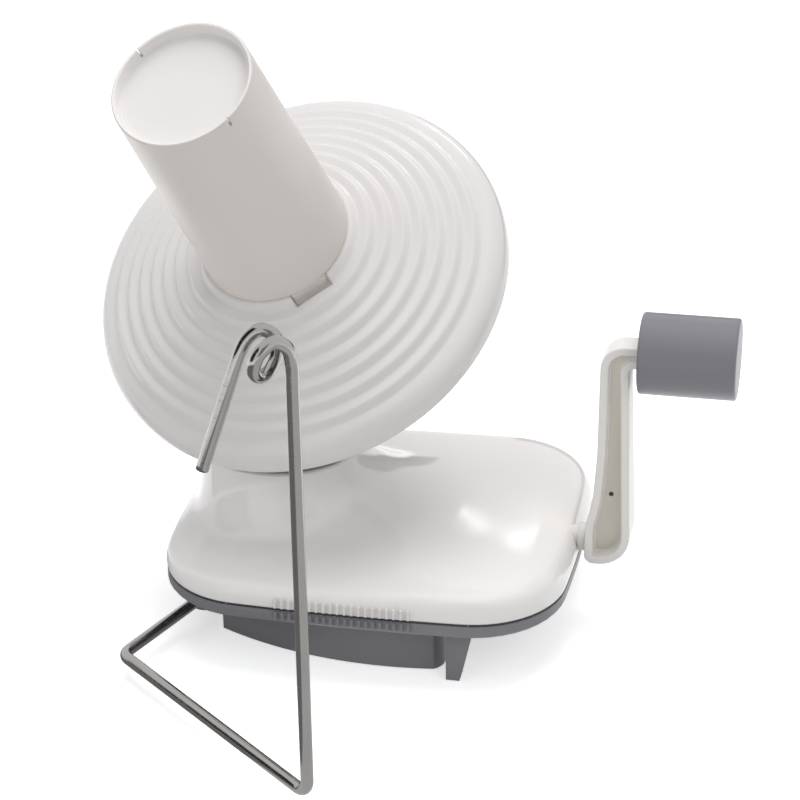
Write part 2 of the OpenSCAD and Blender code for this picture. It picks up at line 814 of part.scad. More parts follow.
module guide_pivot() {
    color([0.41, 0.40, 0.42])
    translate([pivot_x, pivot_y, 0])
    difference() {
        union() {
            translate([0, 0, pivot_low])
                cylinder(h = wire_z + wire_r + 2 - pivot_low, r = pivot_boss_r);
            translate([0, 0, wire_z]) cylinder(h = foot_h - face_gap - wire_z, r = pivot_neck_r);
            translate([0, 0, pivot_low]) cylinder(h = pivot_top_z - pivot_low + over, r = pivot_r);
        }
        rotate([0, 0, atan2(corner_a[1] - pivot_y, corner_a[0] - pivot_x)])
            translate([0, 0, wire_z]) rotate([0, 90, 0]) cylinder(h = 2 * pivot_boss_r, r = wire_r);
    }
}

module guide_clip() {
    color([0.62, 0.62, 0.64])
    translate([pivot_x, pivot_y, boss_top_z + face_gap])
    difference() {
        cylinder(h = clip_h, r = clip_r);
        translate([0, 0, -over]) cylinder(h = clip_h + 2 * over, r = pivot_r);
    }
}

function unit(v) = v / norm(v);
function bend(a, b, c, r, n) =
    let (u = unit(a - b), v = unit(c - b), half = acos(u * v) / 2)
    let (m = b + unit(u + v) * r / sin(half), s = b + u * r / tan(half), e = b + v * r / tan(half))
    let (x = unit(s - m), y = unit((e - m) - ((e - m) * x) * x), sweep = 180 - 2 * half)
    [for (i = [0:n]) m + r * (cos(sweep * i / n) * x + sin(sweep * i / n) * y)];
function blend(p, i, t) = 0.5 * (2 * p[i] + (p[i + 1] - p[i - 1]) * t
    + (2 * p[i - 1] - 5 * p[i] + 4 * p[i + 1] - p[i + 2]) * t * t
    + (3 * p[i] - p[i - 1] - 3 * p[i + 1] + p[i + 2]) * t * t * t);
wire_start = [pivot_x, pivot_y, wire_z] + 1 * unit(corner_a - [pivot_x, pivot_y, wire_z]);
corner_c = [corner_b[0], corner_b[1], eye_z];
eye_line = [for (q = eye_route) corner_c + eye_scale * q];
eye_last = len(eye_line) - 2;
tail_dir = unit(eye_line[eye_last + 1] - eye_line[eye_last]);
wire_path = concat([wire_start], bend(wire_start, corner_a, corner_b, bend_r, bend_pts),
    bend(corner_a, corner_b, corner_c, bend_r, bend_pts),
    [for (i = [1:eye_last - 1], k = [0:eye_pts - 1]) blend(eye_line, i, k / eye_pts)],
    [eye_line[eye_last], eye_line[eye_last] + tail_len * tail_dir]);
function tangents(p) = [for (i = [0:len(p) - 1]) unit(p[min(i + 1, len(p) - 1)] - p[max(i - 1, 0)])];
function carry(n, t) = unit(n - (n * t) * t);
function normals(t, i = 0, n = [0, 0, 1], acc = []) =
    i == len(t) ? acc : let (m = carry(n, t[i])) normals(t, i + 1, m, concat(acc, [m]));

module sweep(path, r, sides) {
    t = tangents(path);
    n = normals(t);
    pts = [for (i = [0:len(path) - 1], k = [0:sides - 1])
        path[i] + r * (cos(360 * k / sides) * n[i] + sin(360 * k / sides) * cross(t[i], n[i]))];
    rings = len(path);
    walls = [for (i = [0:rings - 2], k = [0:sides - 1])
        [i * sides + k, (i + 1) * sides + k, (i + 1) * sides + (k + 1) % sides, i * sides + (k + 1) % sides]];
    ends = [[for (k = [0:sides - 1]) k], [for (k = [0:sides - 1]) rings * sides - 1 - k]];
    polyhedron(points = pts, faces = concat(walls, ends), convexity = 8);
}

module guide_wire() {
    color([0.66, 0.65, 0.64]) sweep(wire_path, wire_r, wire_sides);
}

lower_tray();
top_cover();
cover_screw_fl();
cover_screw_fr();
cover_screw_bl();
cover_screw_br();
centre_post();
post_collar();
sun_gear();
crank_bush();
shaft_block();
crank_shaft();
crown_gear();
crank_arm();
grip_pin();
grip_knob();
grip_end();
rotor_sleeve();
rotor_pinion();
dust_plate();
rotor_arm();
spindle_axle();
axle_washer();
axle_cap();
spool_disc();
planet_gear();
spool_core();
core_cap();
guide_pivot();
guide_clip();
guide_wire();
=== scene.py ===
# %% [markdown]
# A hand-cranked yarn ball winder, dressed for a studio picture.
# The solid model comes in as a fixed frame: every moving body is already in its place, in metres.
# What is left to do here is what a camera sees: soft moulded edges, plastic and metal finishes,
# a smoothly drawn wire, and the light.

# %% Load the frame
import bpy
import bmesh
import json
import math
from mathutils import Matrix, Vector


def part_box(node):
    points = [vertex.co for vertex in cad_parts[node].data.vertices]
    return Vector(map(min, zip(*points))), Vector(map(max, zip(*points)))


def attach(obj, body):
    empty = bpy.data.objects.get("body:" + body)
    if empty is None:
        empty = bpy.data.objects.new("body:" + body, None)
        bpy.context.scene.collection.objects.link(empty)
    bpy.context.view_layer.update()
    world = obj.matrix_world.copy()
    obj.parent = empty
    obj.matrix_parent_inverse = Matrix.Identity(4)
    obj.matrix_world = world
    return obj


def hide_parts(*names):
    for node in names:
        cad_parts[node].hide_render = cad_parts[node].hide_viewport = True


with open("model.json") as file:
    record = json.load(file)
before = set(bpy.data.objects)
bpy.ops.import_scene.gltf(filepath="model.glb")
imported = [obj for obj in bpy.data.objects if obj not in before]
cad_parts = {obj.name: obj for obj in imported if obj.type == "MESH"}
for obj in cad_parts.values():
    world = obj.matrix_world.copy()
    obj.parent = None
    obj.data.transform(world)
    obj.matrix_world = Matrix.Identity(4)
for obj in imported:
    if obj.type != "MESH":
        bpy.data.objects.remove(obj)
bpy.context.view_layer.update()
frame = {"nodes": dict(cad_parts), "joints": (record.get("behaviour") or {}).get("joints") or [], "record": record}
nodes = frame["nodes"]
print("nodes loaded:", len(nodes))

# %% [markdown]
# The camera stands where a photographer would, a little to the right and looking down on the base.
# A long lens keeps the leaning spool from looking stretched. The three axes of the camera are worked
# out from its angles, so that each number says something a photographer could measure.

# %% Camera
def put_in_scene(name, data):
    """Makes an object of the data and links it to the scene."""
    made = bpy.data.objects.new(name, data)
    bpy.context.scene.collection.objects.link(made)
    return made


azimuth, elevation, tilt = math.radians(12.17), math.radians(26), math.radians(-0.94)
target, distance = Vector((0.00611, 0, 0.06644)), 0.76615
focal_mm, sensor_mm = 117, 36
level = math.cos(elevation)
right = Vector((math.cos(azimuth), math.sin(azimuth), 0))
back = Vector((math.sin(azimuth) * level, -math.cos(azimuth) * level, math.sin(elevation)))
up = back.cross(right)
side = right * math.cos(tilt) + up * math.sin(tilt)
top = up * math.cos(tilt) - right * math.sin(tilt)
lens = bpy.data.cameras.new("studio_camera")
lens.lens, lens.sensor_width = focal_mm, sensor_mm
camera = put_in_scene("studio_camera", lens)
facing = Matrix((side, top, back)).transposed().to_4x4()
camera.matrix_world = Matrix.Translation(target + back * distance) @ facing
bpy.context.scene.camera = camera
bpy.context.scene.view_settings.view_transform = "Standard"
print("camera at", [round(c, 3) for c in camera.matrix_world.translation])

# %% [markdown]
# Every finish is a small network of nodes. These helpers add a node with its values and join
# nodes in rows, so that a recipe reads like a list.

# %% Node helpers
def set_inputs(node, inputs):
    """Sets the inputs of a node by name, written with _ for a space."""
    for label, value in inputs.items():
        node.inputs[label.replace("_", " ")].default_value = value


def add_node(tree, kind, operation=None, **inputs):
    """Adds a shader node, with its operation if it has one."""
    made = tree.nodes.new("ShaderNode" + kind)
    if operation:
        made.operation = operation
    set_inputs(made, inputs)
    return made


def wire_up(tree, *links):
    """Joins nodes. Each link is (from node, output, to node, input)."""
    for start, output, end, entry in links:
        tree.links.new(start.outputs[output], end.inputs[entry])


def fresh_material(name):
    """A new material without nodes, and its tree."""
    made = bpy.data.materials.new(name)
    made.use_nodes = True
    made.node_tree.nodes.clear()
    return made, made.node_tree


print("node helpers:", [helper.__name__ for helper in (add_node, wire_up, fresh_material)])

# %% [markdown]
# A white sweep is the usual ground for a small household tool. The floor is a wide pale sheet.
# Its colour is lifted for rays that come from the camera or from a mirror, so the ground reads as
# white while the soft shadow of the base stays on it.

# %% Floor
def as_mesh(bm, name, *coats):
    """Turns a work mesh into a mesh with the materials given."""
    mesh = bpy.data.meshes.new(name)
    bm.to_mesh(mesh)
    bm.free()
    for coat in coats:
        mesh.materials.append(coat)
    return mesh


floor_half, floor_drop, floor_glow = 6, 0.0004, 0.56
floor_finish, tree = fresh_material("studio_floor")
paint = add_node(tree, "BsdfDiffuse", Color=(0.86, 0.86, 0.86, 1))
glow = add_node(tree, "Emission", Strength=floor_glow)
both = add_node(tree, "AddShader")
rays = add_node(tree, "LightPath")
seen = add_node(tree, "Math", "MAXIMUM")
pick = add_node(tree, "MixShader")
sheet_out = add_node(tree, "OutputMaterial")
wire_up(tree,
        (paint, "BSDF", both, 0), (glow, "Emission", both, 1),
        (rays, "Is Camera Ray", seen, 0), (rays, "Is Glossy Ray", seen, 1),
        (seen, "Value", pick, "Fac"), (paint, "BSDF", pick, 1), (both, "Shader", pick, 2),
        (pick, "Shader", sheet_out, "Surface"))

bm = bmesh.new()
bmesh.ops.create_grid(bm, x_segments=2, y_segments=2, size=floor_half)
bmesh.ops.translate(bm, verts=bm.verts, vec=(0, 0, -floor_drop))
floor = put_in_scene("studio_floor", as_mesh(bm, "studio_floor", floor_finish))
print("floor reaches", round(floor.dimensions.x, 2), "m")

# %% [markdown]
# Plastic shows its form through soft gradients, so the lamps are large panels. The main panel stands
# at the upper right in front, a weaker one fills from the left, and one hangs overhead. No mirror
# shows these three. Two small panels at the back are there for their glints: one on the cover, one on the disc.

# %% Lamps
def panel(name, place, aim, width, height, watts):
    """A rectangular lamp at a place, turned towards an aim."""
    data = bpy.data.lights.new(name, "AREA")
    data.shape, data.size, data.size_y, data.energy = "RECTANGLE", width, height, watts
    lamp = put_in_scene(name, data)
    towards = (Vector(aim) - Vector(place)).to_track_quat("-Z", "Y")
    lamp.matrix_world = Matrix.Translation(place) @ towards.to_matrix().to_4x4()
    return lamp


large_panels = [panel("main_panel", (0.75, -0.7, 0.95), (0, 0, 0.06), 0.6, 0.6, 2.9),
                panel("fill_panel", (-0.95, -0.75, 0.55), (0, 0, 0.08), 0.8, 0.8, 3.0),
                panel("overhead_panel", (0.05, 0.25, 1.2), (0, 0, 0.08), 0.9, 0.9, 10)]
for lamp in large_panels:
    lamp.visible_glossy = False
glint_panel = panel("glint_panel", (-0.058, 0.94, 0.584), (0.038, -0.008, 0.031), 0.046, 0.012, 0.011)
streak_panel = panel("streak_panel", (0.1, 0.85, 0.85), (-0.01, 0.02, 0.14), 0.35, 0.12, 1)
streak_panel.visible_diffuse = False
print("lamps:", [lamp.name for lamp in (*large_panels, glint_panel, streak_panel)])

# %% [markdown]
# The sky gives the rest of the light evenly, as the white walls of a studio do. A picture of a room would put
# shapes into every reflection, so it is one plain colour. It looks white to the camera and to
# anything that mirrors it.

# %% Sky
sky = bpy.data.worlds.new("studio_sky")
sky.use_nodes = True
tree = sky.node_tree
tree.nodes.clear()
rays = add_node(tree, "LightPath")
seen = add_node(tree, "Math", "MAXIMUM")
seen_or_mirrored = add_node(tree, "Math", "MAXIMUM")
even = add_node(tree, "Background", Color=(0.95, 0.97, 1, 1), Strength=0.42)
white = add_node(tree, "Background", Color=(1, 1, 1, 1))
pick = add_node(tree, "MixShader")
sky_out = add_node(tree, "OutputWorld")
wire_up(tree,
        (rays, "Is Camera Ray", seen, 0), (rays, "Is Transmission Ray", seen, 1),
        (seen, "Value", seen_or_mirrored, 0), (rays, "Is Glossy Ray", seen_or_mirrored, 1),
        (seen_or_mirrored, "Value", pick, "Fac"),
        (even, "Background", pick, 1), (white, "Background", pick, 2),
        (pick, "Shader", sky_out, "Surface"))
bpy.context.scene.world = sky
print("sky:", sky.name, len(tree.nodes), "nodes")

# %% [markdown]
# Bright metal shows only what stands around it. In an all-white room it would look like grey paint, so a
# photographer puts dark cards beside it: three stand, and two lie before the upright wire, which is seen
# from above and so mirrors the ground. They are seen by mirror rays alone: they throw no shadow, and no
# view of the camera shows them.

# %% Dark cards
def card(name, place, aim, width, height, tone):
    """A flat card of one grey tone at a place, turned towards an aim."""
    finish, tree = fresh_material(name)
    shade = add_node(tree, "Emission", Color=(tone, tone, tone, 1))
    card_out = add_node(tree, "OutputMaterial")
    wire_up(tree, (shade, "Emission", card_out, "Surface"))
    towards = (Vector(aim) - Vector(place)).to_track_quat("Z", "Y").to_matrix().to_4x4()
    size = Matrix.Diagonal((width / 2, height / 2, 1, 1))
    bm = bmesh.new()
    bmesh.ops.create_grid(bm, x_segments=1, y_segments=1, size=1,
                          matrix=Matrix.Translation(place) @ towards @ size)
    made = put_in_scene(name, as_mesh(bm, name, finish))
    made.visible_camera = made.visible_diffuse = made.visible_shadow = made.visible_transmission = False


cards = [("left_card", (-0.95, -0.55, 0.35), (0, -0.1, 0.08), 1.1, 1.5, 0.03),
         ("front_card", (0.35, -1.3, 0.6), (0, -0.1, 0.08), 0.7, 1.2, 0.3),
         ("left_ground_card", (-0.22, -0.2, 0.0002), (-0.22, -0.2, 1), 0.4, 0.44, 0.27),
         ("front_ground_card", (0.23, -0.32, 0.0002), (0.23, -0.32, 1), 0.5, 0.6, 0.76),
         ("back_card", (0.55, 1, 0.12), (0.55, 0, 0.12), 1.3, 0.3, 0.05)]
for row in cards:
    card(*row)
print("cards:", len(cards))

# %% [markdown]
# Every plastic on this tool was moulded, and moulded plastic has two things in common: a fine grain
# that breaks up the gloss, and slow changes of tone where the melt cooled. Both are put in one node
# group, and each finish sets its own scale.

# %% Moulded grain group
def new_group(name, inputs, outputs):
    """A node group with number inputs and outputs, and the two nodes at its ends."""
    made = bpy.data.node_groups.new(name, "ShaderNodeTree")
    for label, value in inputs:
        made.interface.new_socket(label, in_out="INPUT", socket_type="NodeSocketFloat").default_value = value
    for label in outputs:
        made.interface.new_socket(label, in_out="OUTPUT", socket_type="NodeSocketFloat")
    return made, made.nodes.new("NodeGroupInput"), made.nodes.new("NodeGroupOutput")


grain_group, given, result = new_group("moulded_grain", [("Grain Scale", 1500), ("Tone Scale", 25)],
                                       ["Grain", "Tone"])
place = add_node(grain_group, "TexCoord")
fine = add_node(grain_group, "TexNoise", Detail=3)
slow = add_node(grain_group, "TexNoise", Detail=2)
wire_up(grain_group,
        (place, "Object", fine, "Vector"), (place, "Object", slow, "Vector"),
        (given, "Grain Scale", fine, "Scale"), (given, "Tone Scale", slow, "Scale"),
        (fine, "Fac", result, "Grain"), (slow, "Fac", result, "Tone"))
print("group:", grain_group.name, [n.bl_idname for n in grain_group.nodes])

# %% [markdown]
# A tool that is carried and cranked picks up faint rub marks. They are short, all directions mixed, and
# show as slightly duller patches rather than as colour. A stretched, warped noise cut to its peaks
# gives such marks; the group puts them out as a mask.

# %% Rub mark group
rub_group, given, result = new_group("rub_marks", [("Scale", 60), ("Amount", 0.5)], ["Marks"])
place = add_node(rub_group, "TexCoord")
stretch = add_node(rub_group, "Mapping", Rotation=(0.4, 0.7, 0.2), Scale=(1, 1, 9))
streak = add_node(rub_group, "TexNoise", Detail=5, Distortion=0.6)
peaks = add_node(rub_group, "MapRange", From_Min=0.56, From_Max=0.72)
strength = add_node(rub_group, "Math", "MULTIPLY")
wire_up(rub_group,
        (place, "Object", stretch, "Vector"), (stretch, "Vector", streak, "Vector"),
        (given, "Scale", streak, "Scale"), (streak, "Fac", peaks, "Value"),
        (peaks, "Result", strength, 0), (given, "Amount", strength, 1),
        (strength, "Value", result, "Marks"))
print("group:", rub_group.name)

# %% [markdown]
# One recipe serves all finishes. The colour moves between two close tones, the roughness between a shiny
# and a dull value, and the grain lifts the surface by a few microns.
# The solids have sharp corners where the mouldings have small radii, so a plastic also gets a Bevel node,
# which rounds the shading at each corner by the radius given.

# %% Surface recipe
def add_group(tree, group, **inputs):
    """Adds a node group to a finish."""
    made = tree.nodes.new("ShaderNodeGroup")
    made.node_tree = group
    set_inputs(made, inputs)
    return made


def surface(name, light_tone, dark_tone, shine, grain, tone_scale, rub_scale, rub_amount, bump, bump_height):
    """What all finishes share. Returns the material, its tree, the body node and the bump node."""
    made, tree = fresh_material(name)
    body = add_node(tree, "BsdfPrincipled")
    out = add_node(tree, "OutputMaterial")
    texture = add_group(tree, grain_group, Grain_Scale=grain, Tone_Scale=tone_scale)
    rubs = add_group(tree, rub_group, Scale=rub_scale, Amount=rub_amount)
    tones = add_node(tree, "Mix")
    tones.data_type = "RGBA"
    colour_a, colour_b = tones.inputs[6], tones.inputs[7]
    colour_a.default_value, colour_b.default_value = (*dark_tone, 1), (*light_tone, 1)
    gloss = add_node(tree, "MapRange", From_Min=0.3, From_Max=0.7, To_Min=shine[0], To_Max=shine[1])
    dull = add_node(tree, "Math", "ADD")
    dull.use_clamp = True
    lift = add_node(tree, "Bump", Strength=bump, Distance=bump_height)
    wire_up(tree,
            (texture, "Tone", tones, 0), (tones, 2, body, "Base Color"),
            (texture, "Grain", gloss, "Value"), (gloss, "Result", dull, 0), (rubs, "Marks", dull, 1),
            (dull, "Value", body, "Roughness"),
            (texture, "Grain", lift, "Height"), (lift, "Normal", body, "Normal"),
            (body, "BSDF", out, "Surface"))
    return made, tree, body, lift


def plastic(name, light_tone, dark_tone, shine, grain, grain_height, corner, marks):
    """A moulded plastic whose corners are shaded round."""
    made, tree, _, lift = surface(name, light_tone, dark_tone, shine, grain, tone_scale=22,
                                  rub_scale=55, rub_amount=marks, bump=0.35, bump_height=grain_height)
    soft = add_node(tree, "Bevel", Radius=corner)
    soft.samples = 6
    wire_up(tree, (soft, "Normal", lift, "Normal"))
    return made


print("recipes:", surface.__name__, plastic.__name__)

# %% [markdown]
# Each plastic is one row: its two tones, the range of its roughness, the scale and height of its grain in
# metres, the radius of its corners and the amount of rub marks. The whites differ in gloss and warmth.
# The cover's and the disc's whites are a lighter and a darker copy of one white: painted light on the cover, which
# the disc shades, and painted shade on the disc, which the lamps light strongly.

# %% Plastics
plastic_rows = {
    # Painted light: the cover's white is lighter than the gloss white, to make up for the shade the disc casts on
    # the cover.
    "cover_gloss": ("polished_white_painted_light_moulding", (0.83, 0.805, 0.785), (0.81, 0.78, 0.762),
                    (0.06, 0.085), 3200, 0.000001, 0.0006, 0.03),
    "white_gloss": ("gloss_white_moulding", (0.75, 0.727, 0.71), (0.725, 0.70, 0.685),
                    (0.17, 0.23), 3200, 0.000004, 0.0009, 0.05),
    # Painted shade: the disc's white is darker than the gloss white, to tone down the lamps' light on the disc.
    "disc_gloss": ("white_painted_shade_moulding", (0.70, 0.678, 0.662), (0.675, 0.652, 0.637),
                   (0.17, 0.23), 3200, 0.000004, 0.0009, 0.05),
    "white_satin": ("satin_white_moulding", (0.69, 0.642, 0.603), (0.665, 0.617, 0.578),
                    (0.32, 0.40), 3000, 0.000006, 0.0007, 0.05),
    "grey_tray": ("grained_grey_moulding", (0.205, 0.202, 0.216), (0.18, 0.177, 0.192),
                  (0.36, 0.48), 2200, 0.00002, 0.0007, 0.04),
    "grey_grip": ("smooth_grey_moulding", (0.205, 0.199, 0.221), (0.185, 0.179, 0.2),
                  (0.3, 0.4), 2600, 0.000008, 0.0009, 0.06),
    "arm_white": ("arm_white_moulding", (0.81, 0.785, 0.75), (0.78, 0.755, 0.715),
                  (0.26, 0.34), 3000, 0.000005, 0.0005, 0.05),
    # The web is yellower than the rib, and its darker tone is painted shade of the hollow between the ribs.
    "arm_web": ("yellow_arm_web_painted_shade", (0.68, 0.64, 0.565), (0.65, 0.61, 0.535),
                (0.3, 0.38), 3000, 0.000005, 0.0004, 0.05),
    # Near-black, painted shadow: for the gap under the cover and for the mouth of a hole in the arm.
    "shadow_line": ("painted_shadow_moulding", (0.045, 0.045, 0.047), (0.035, 0.035, 0.037),
                    (0.5, 0.6), 2600, 0.000008, 0.0002, 0.05),
    "inner_plastic": ("natural_white_moulding", (0.70, 0.67, 0.60), (0.64, 0.61, 0.545),
                      (0.4, 0.55), 2600, 0.000008, 0.0004, 0.05),
}
finishes = {slot: plastic(*row) for slot, row in plastic_rows.items()}
print("plastics:", sorted(finishes))

# %% [markdown]
# The shafts and screws are bright drawn steel, and the yarn guide is plated wire. Both are metals, so
# the colour is that of the mirror itself. They take the shared recipe with a finer grain of
# tones and smaller rub marks, and without the round corners.

# %% Metals
def metal(name, light_tone, dark_tone, shine, grain, grain_height):
    """A bright metal."""
    made, _, body, _ = surface(name, light_tone, dark_tone, shine, grain, tone_scale=90,
                               rub_scale=240, rub_amount=0.18, bump=0.3, bump_height=grain_height)
    set_inputs(body, {"Metallic": 1})
    return made


finishes["steel"] = metal("bright_drawn_steel", (0.62, 0.62, 0.63), (0.55, 0.55, 0.56),
                          (0.2, 0.3), 2500, 0.000004)
finishes["wire"] = metal("plated_guide_wire", (0.42, 0.407, 0.396), (0.36, 0.348, 0.338),
                         (0.1, 0.16), 2500, 0.000002)
print("metals:", finishes["steel"].name, finishes["wire"].name)

# %% [markdown]
# The record says which finish each solid has, so the finishes are handed out from it and no node
# is forgotten. Only the bush of the crank takes another white, that of the arm beside it.

# %% Finishes on the solids
for part in frame["record"]["subparts"]:
    mesh = nodes[part["node"]].data
    mesh.materials.clear()
    mesh.materials.append(finishes["arm_white" if part["node"] == "crank_bush" else part["material_slot"]])

# %% [markdown]
# The pieces that follow are modelled afresh where a moulding is softer than a solid can say.
# All of them end the same way: the work mesh becomes an object at the origin, gets its finish, rides on
# a body of the frame and, where it stands for a solid, hides that solid. One helper does this for all.

# %% Handing over a piece
mm = 0.001
weld = 0.002 * mm


def hand_over(bm, name, body, finish, stands_for=(), smooth_angle=35):
    """Makes the work mesh a piece on a body, with a finish, in place of the named solids."""
    bmesh.ops.remove_doubles(bm, verts=bm.verts, dist=weld)
    bmesh.ops.recalc_face_normals(bm, faces=bm.faces)
    mesh = as_mesh(bm, name, finish)
    mesh.shade_smooth()
    mesh.set_sharp_from_angle(angle=math.radians(smooth_angle))
    piece = put_in_scene(name, mesh)
    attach(piece, body)
    if stands_for:
        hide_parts(*stands_for)
    print(name, "has", len(mesh.polygons), "faces")
    return piece


print("pieces are welded at", weld / mm, "mm")

# %% [markdown]
# The base has four bowed sides and round corners. A quarter of that line is drawn by spinning one
# vertex about three centres in turn: along the front bow, round the corner, and along the side bow. Each arc
# starts where the last one ended, so the line has no kink to show in a reflection, as the corners of a
# bevelled box would. Two mirrors make it whole.

# %% Outline of the base
half_w, half_d, base_shift, corner_r, bulge = 60, 54, 3, 27, 2.5
join_gap = 0.001
bow_front, bow_side = (h * h / (2 * bulge) + bulge / 2 for h in (half_w, half_d))
front_mid, side_mid = Vector((0, bow_front - half_d, 0)), Vector((half_w - bow_side, 0, 0))
span = side_mid - front_mid
reach_front, reach_side = bow_front - corner_r, bow_side - corner_r
along = (reach_front ** 2 - reach_side ** 2 + span.length_squared) / (2 * span.length)
across = math.sqrt(reach_front ** 2 - along ** 2)
corner_mid = front_mid + along * span.normalized() + across * Vector((-span.y, span.x, 0)).normalized()
front_turn = math.atan2(corner_mid.x, front_mid.y - corner_mid.y)
side_turn = math.atan2(-corner_mid.y, corner_mid.x - side_mid.x)
quarter_arcs = [(front_mid, front_turn, 10), (corner_mid, math.pi / 2 - front_turn - side_turn, 10),
                (side_mid, side_turn, 8)]


def base_outline(bm, grow=0, height=0):
    """The closed line of the base, grown outwards by some millimetres, at a height. Returns its edges."""
    tip = bm.verts.new((0, front_mid.y - bow_front - grow, 0))
    for centre, turn, parts in quarter_arcs:
        made = bmesh.ops.spin(bm, geom=[tip], cent=centre, axis=(0, 0, 1), angle=turn, steps=parts)
        tip = next(g for g in made["geom_last"] if isinstance(g, bmesh.types.BMVert))
    for axis in ("X", "Y"):
        bmesh.ops.mirror(bm, geom=bm.verts[:] + bm.edges[:], axis=axis, merge_dist=join_gap)
    bmesh.ops.remove_doubles(bm, verts=bm.verts, dist=join_gap)
    bmesh.ops.translate(bm, verts=bm.verts, vec=(0, base_shift, height))
    bmesh.ops.scale(bm, verts=bm.verts, vec=(mm, mm, mm))
    return bm.edges[:]


trial = bmesh.new()
base_outline(trial)
trial_width = 2 * max(v.co.x for v in trial.verts) / mm
print("outline:", len(trial.verts), "points, width", round(trial_width, 2), "mm")
trial.free()

# %% [markdown]
# The top cover is one soft moulding: a low edge, a gently domed top and a neck that rises from it under the
# disc. It is lofted. The outline is extruded ring by ring, and every new ring is drawn in towards the neck's
# axis: the first rings round the edge, the later ones climb to the lip. Towards the right the rings are
# lifted by about a millimetre and drawn in a little. Lofting keeps the outline at the foot exact, which sculpting
# would not. Subdivision smooths the rings, and Solidify gives the wall.

# %% Domed cover
neck_x, neck_r, room, cover_wall = -30, 24, 25, 2.4
seam_grow, seam_height = 0.3, 22.3
edge_rings = [(-0.25, 24), (0.2, 26.3), (1.3, 28.2), (4, 29.5)]
edge_inset = edge_rings[-1][0]
dome_rings = [(0.2, 30.4), (0.44, 31.4), (0.63, 33), (0.77, 35.8),
              (0.875, 39.8), (0.945, 44.3), (0.985, 48.3), (1, 50.6)]
right_lift, right_draw, draw_height = 1.3, 0.8, 3


def extrude_ring(bm, edges):
    """Extrudes a ring of edges and gives back the new points and the new ring."""
    made = bmesh.ops.extrude_edge_only(bm, edges=edges)["geom"]
    points = {g for g in made if isinstance(g, bmesh.types.BMVert)}
    return points, [g for g in made if isinstance(g, bmesh.types.BMEdge) and set(g.verts) <= points]


def next_ring(bm, edges, height, inset, share, lift, draw):
    """Extrudes a ring to a height, some way in from the outline and then a share of the way to the neck."""
    reach = bm.verts.layers.float["reach"]
    points, ring = extrude_ring(bm, edges)
    for v in points:
        ray = Vector((v.co.x - neck_x * mm, v.co.y)).normalized()
        fade = min(1, (v[reach] - neck_r * mm) / (room * mm))
        gap = (1 - share) * (v[reach] - inset * mm * fade) + share * neck_r * mm
        drawn = right_draw * mm * draw * max(0, v.co.x / (half_w * mm)) ** 2
        v.co = (neck_x * mm + ray.x * gap - drawn, ray.y * gap, height * mm + lift * v.co.x / half_w)
    return ring


bm = bmesh.new()
ring = base_outline(bm, seam_grow, seam_height)
reach = bm.verts.layers.float.new("reach")
for v in bm.verts:
    v[reach] = Vector((v.co.x - neck_x * mm, v.co.y)).length
for inset, height in edge_rings:
    ring = next_ring(bm, ring, height, inset, 0, right_lift * max(0, inset) / edge_inset,
                     min(1, (height - seam_height) / draw_height))
for share, height in dome_rings:
    rest = (1 - share) ** 2
    ring = next_ring(bm, ring, height, edge_inset, share, right_lift * rest, rest)
# The cover takes the lighter white, as painted light.
cover = hand_over(bm, "domed_cover", "base", finishes["cover_gloss"], ["top_cover"], 180)
smooth = cover.modifiers.new("smooth", "SUBSURF")
smooth.levels = smooth.render_levels = 2
wall = cover.modifiers.new("wall", "SOLIDIFY")
wall.thickness, wall.offset = cover_wall * mm, -1

# %% [markdown]
# Below the cover the grey tray shows as a band with a shadow line above it. The band is a closed ring
# round the tray's rim, and the shadow line is a thin near-black strip set back in the joint: painted shadow of the
# gap under the cover. Only the rim of the tray is close to the eye, so the solid tray stays and the band is laid
# round it.

# %% Tray band and painted joint shadow
def band(name, finish, rings):
    """A closed ring round the base. Each ring is (how far outside the outline, height), in millimetres."""
    bm = bmesh.new()
    middle = Vector((0, base_shift * mm, 0))
    loops = [base_outline(bm)]
    for _ in rings[1:]:
        loops.append(extrude_ring(bm, loops[-1])[1])
    for loop, (grow, height) in zip(loops, rings):
        for v in {v for e in loop for v in e.verts}:
            out = (v.co - middle).to_2d()
            out *= 1 + grow * mm / out.length
            v.co = (middle.x + out.x, middle.y + out.y, height * mm)
    bmesh.ops.bridge_loops(bm, edges=loops[0] + loops[-1])
    hand_over(bm, name, "base", finish)


band("tray_band", finishes["grey_tray"],
     [(0.25, 21.45), (0.25, 18.5), (-0.5, 17.5), (-3.2, 17), (-3.2, 21.45)])
# A near-black strip in the joint, as painted shadow of the gap under the cover.
band("painted_joint_shadow", finishes["shadow_line"], [(0.04, 21.2), (0.04, 22.5), (-0.6, 22.5), (-0.6, 21.2)])

# %% [markdown]
# At the front a row of fine ribs crosses the joint, as a hold for the fingers when the base is opened.
# Each rib is a small block with its edges bevelled until it is nearly half round. One white row stands
# on the cover and one grey row on the band below it. An Array modifier would set them in a straight line,
# so each is placed on the bow of the front by itself.

# %% Finger ribs
rib_count, rib_start, rib_pitch = 20, -20.5, 2.05
rib_width, rib_depth, rib_round = 1.1, 2, 0.34


def soften(bm, width, segments=3, least_angle=25):
    """Rounds every edge at which two faces meet more sharply than the angle given."""
    limit = math.radians(least_angle)
    sharp = [e for e in bm.edges if len(e.link_faces) == 2 and e.calc_face_angle(0) > limit]
    bmesh.ops.bevel(bm, geom=sharp, offset=width * mm, offset_type="OFFSET", segments=segments, profile=0.5,
                    affect="EDGES", clamp_overlap=True, material=-1)


